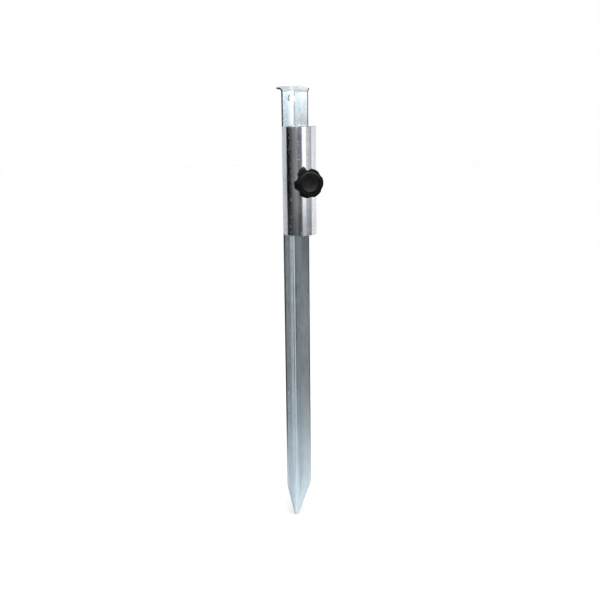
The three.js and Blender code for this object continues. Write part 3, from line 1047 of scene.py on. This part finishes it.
def studio_bands(nodes, turn, stops):
    """The level at a turn round the object, from a list of (turn, level) stops."""
    ramp = nodes.add("ShaderNodeValToRGB", {"Fac": turn})
    elements = ramp.color_ramp.elements
    while len(elements) > 1:
        elements.remove(elements[-1])
    first_turn, first_level = stops[0]
    elements[0].position = first_turn
    elements[0].color = (first_level, first_level, first_level, 1)
    for position, level in stops[1:]:
        elements.new(position).color = (level, level, level, 1)
    return ramp.outputs["Color"]


def studio_directions(nodes):
    """The world direction being lit, as its turn round the object and its elevation in degrees."""
    direction = nodes.add("ShaderNodeTexCoord").outputs["Generated"]
    right = camera_axes()[0]
    forward = level_towards_camera()
    sideways = nodes.add("ShaderNodeVectorMath", {0: direction, 1: right}, operation="DOT_PRODUCT")
    towards = nodes.add("ShaderNodeVectorMath", {0: direction, 1: forward}, operation="DOT_PRODUCT")
    azimuth = nodes.math("ARCTAN2", sideways.outputs["Value"], towards.outputs["Value"])
    turn = nodes.math("ADD", nodes.math("DIVIDE", azimuth, 2 * math.pi), 0.5)
    rise = nodes.add("ShaderNodeSeparateXYZ", {"Vector": direction}).outputs["Z"]
    elevation = nodes.math("MULTIPLY", nodes.math("ARCSINE", rise), 180 / math.pi)
    return turn, elevation


def light_below_horizon(nodes, turn, elevation):
    """Soft boxes and dark gaps, then a pale floor that dims straight below."""
    upper = studio_bands(nodes, turn, BANDS_AT_TUBE_TOP)
    lower = studio_bands(nodes, turn, BANDS_AT_TUBE_BOTTOM)
    lowest = studio_bands(nodes, turn, BANDS_BELOW_TUBE)
    bands = nodes.mixed_colour(nodes.fade(elevation, *TUBE_TOP_TO_BOTTOM), upper, lower)
    bands = nodes.mixed_colour(nodes.fade(elevation, *TUBE_TO_BELOW), bands, lowest)
    floor_level = nodes.remap(elevation, *FLOOR_DIMS, FLOOR_LEVEL, FAR_BELOW_LEVEL, smooth=True)
    level = nodes.mixed_colour(nodes.fade(elevation, *BANDS_TO_FLOOR), bands, floor_level)
    tint = nodes.mixed_colour(nodes.fade(elevation, *LOW_LIGHT_COOLS), WHITE, COOL_WHITE)
    return nodes.add("ShaderNodeVectorMath", {0: level, 1: tint}, operation="MULTIPLY").outputs["Vector"]


def light_of_room(nodes, turn, elevation):
    """Levels above the horizon: the bands near it, plain walls, the ceiling and the key light."""
    horizon = studio_bands(nodes, turn, BANDS_AT_HORIZON)
    walls = nodes.remap(elevation, *HORIZON_TO_WALLS, horizon, WALL_LEVEL, smooth=True)
    ceiling = nodes.remap(elevation, *WALLS_TO_CEILING, 0.0, CEILING_LEVEL, smooth=True)
    off_key = nodes.math("ABSOLUTE", nodes.math("SUBTRACT", turn, KEY_TURN))
    key = nodes.fade(off_key, *KEY_SIDE)
    key = nodes.math("MULTIPLY", key, nodes.fade(elevation, *KEY_FOOT))
    key = nodes.math("MULTIPLY", key, nodes.fade(elevation, *KEY_TOP))
    return nodes.weighted_sum((walls, 1.0), (ceiling, 1.0), (key, KEY_LEVEL))


def add_studio_light():
    """The studio as the object mirrors it. The camera itself sees a plain white backdrop."""
    world = bpy.data.worlds.new("studio")
    bpy.context.scene.world = world
    world.use_nodes = True
    nodes = Nodes(world.node_tree)
    turn, elevation = studio_directions(nodes)
    below = light_below_horizon(nodes, turn, elevation)
    room = light_of_room(nodes, turn, elevation)
    colour = nodes.mixed_colour(nodes.fade(elevation, *STUDIO_TO_ROOM), below, room)
    light = nodes.add("ShaderNodeBackground", {"Color": colour, "Strength": 1.0})
    backdrop = nodes.add("ShaderNodeBackground", {"Color": WHITE, "Strength": 1.0})
    seen_directly = nodes.add("ShaderNodeLightPath").outputs["Is Camera Ray"]
    both = nodes.add("ShaderNodeMixShader", {0: seen_directly})
    nodes.feed(both.inputs[1], light.outputs["Background"])
    nodes.feed(both.inputs[2], backdrop.outputs["Background"])
    output = nodes.add("ShaderNodeOutputWorld")
    nodes.feed(output.inputs["Surface"], both.outputs["Shader"])


def add_top_lamp():
    """A small soft box over the spike's top end. Its light falls off quickly towards the tube and below."""
    before_aim = 130 * MM
    right_of_aim = 20 * MM
    above_aim = 140 * MM
    data = bpy.data.lights.new("top_lamp", "AREA")
    data.shape = "DISK"
    data.size = 120 * MM
    data.energy = 1.8
    lamp = bpy.data.objects.new("top_lamp", data)
    aim = Vector((0, TUBE_AXIS.y / 2, SPIKE_HOLE_HEIGHT))
    right = camera_axes()[0]
    offset = level_towards_camera() * before_aim + right * right_of_aim + Vector((0, 0, above_aim))
    lamp.location = aim + offset
    lamp.rotation_euler = offset.to_track_quat("Z", "Y").to_euler()
    lamp.visible_camera = False
    lamp.visible_glossy = False
    bpy.context.scene.collection.objects.link(lamp)


def add_floor():
    """A plain pale floor under the spike's tip. Metal doesn't mirror it: the studio light stands for it."""
    reach = 6.0
    gap = 0.2 * MM
    glow = 0.25  # lifts the floor to the backdrop's white
    corners = [(-reach, -reach, 0), (reach, -reach, 0), (reach, reach, 0), (-reach, reach, 0)]
    floor = piece_from("floor", corners, [(0, 1, 2, 3)])
    floor.location.z = spike_low.z - gap
    floor.visible_glossy = False
    material, nodes, surface = new_material("pale_floor")
    nodes.feed(surface.inputs["Base Color"], (0.9, 0.9, 0.9, 1))
    nodes.feed(surface.inputs["Roughness"], 1.0)
    nodes.feed(surface.inputs["Specular IOR Level"], 0.0)
    nodes.feed(surface.inputs["Emission Color"], WHITE)
    nodes.feed(surface.inputs["Emission Strength"], glow)
    floor.data.materials.append(material)


# ---- Assembly ------------------------------------------------------------------------------

def finish_piece(piece, material, slot_name, body, *nodes):
    """Gives a piece its material and its body; slot_name is not used. nodes are the CAD nodes that it
    stands for.
    """
    if material is not None:
        piece.data.materials.clear()
        piece.data.materials.append(material)
    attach(piece, body)
    if nodes:
        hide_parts(*nodes)


def build_object():
    sheet, tube, plate = galvanised_sheet(), galvanised_tube(), zinc_plate()
    weld, plastic = weld_metal(), black_plastic()
    finish_piece(ground_spike([sheet, sheared_edge()]), None, "galvanised_sheet", "spike", "ground_spike")
    finish_piece(holder_tube([tube]), None, "galvanised_tube", "spike", "holder_tube")
    for bead in stitch_welds() + nut_welds():
        finish_piece(bead, weld, "weld_metal", "spike")
    finish_piece(weld_nut(), plate, "zinc_plate", "spike", "weld_nut")
    for part in clamp_screw():
        finish_piece(part, plate, "zinc_plate", "knob", "clamp_screw")
    finish_piece(knob_grip(), plastic, "black_plastic", "knob", "knob_grip")
    finish_piece(knob_front_disc(), plastic, "black_plastic", "knob", "knob_front_cap")
    finish_piece(pressure_pad(), plastic, "black_plastic", "pressure_cap", "thrust_cap")


build_object()
add_floor()
add_studio_light()
add_top_lamp()
add_camera()
bpy.context.scene.view_settings.view_transform = "Standard"
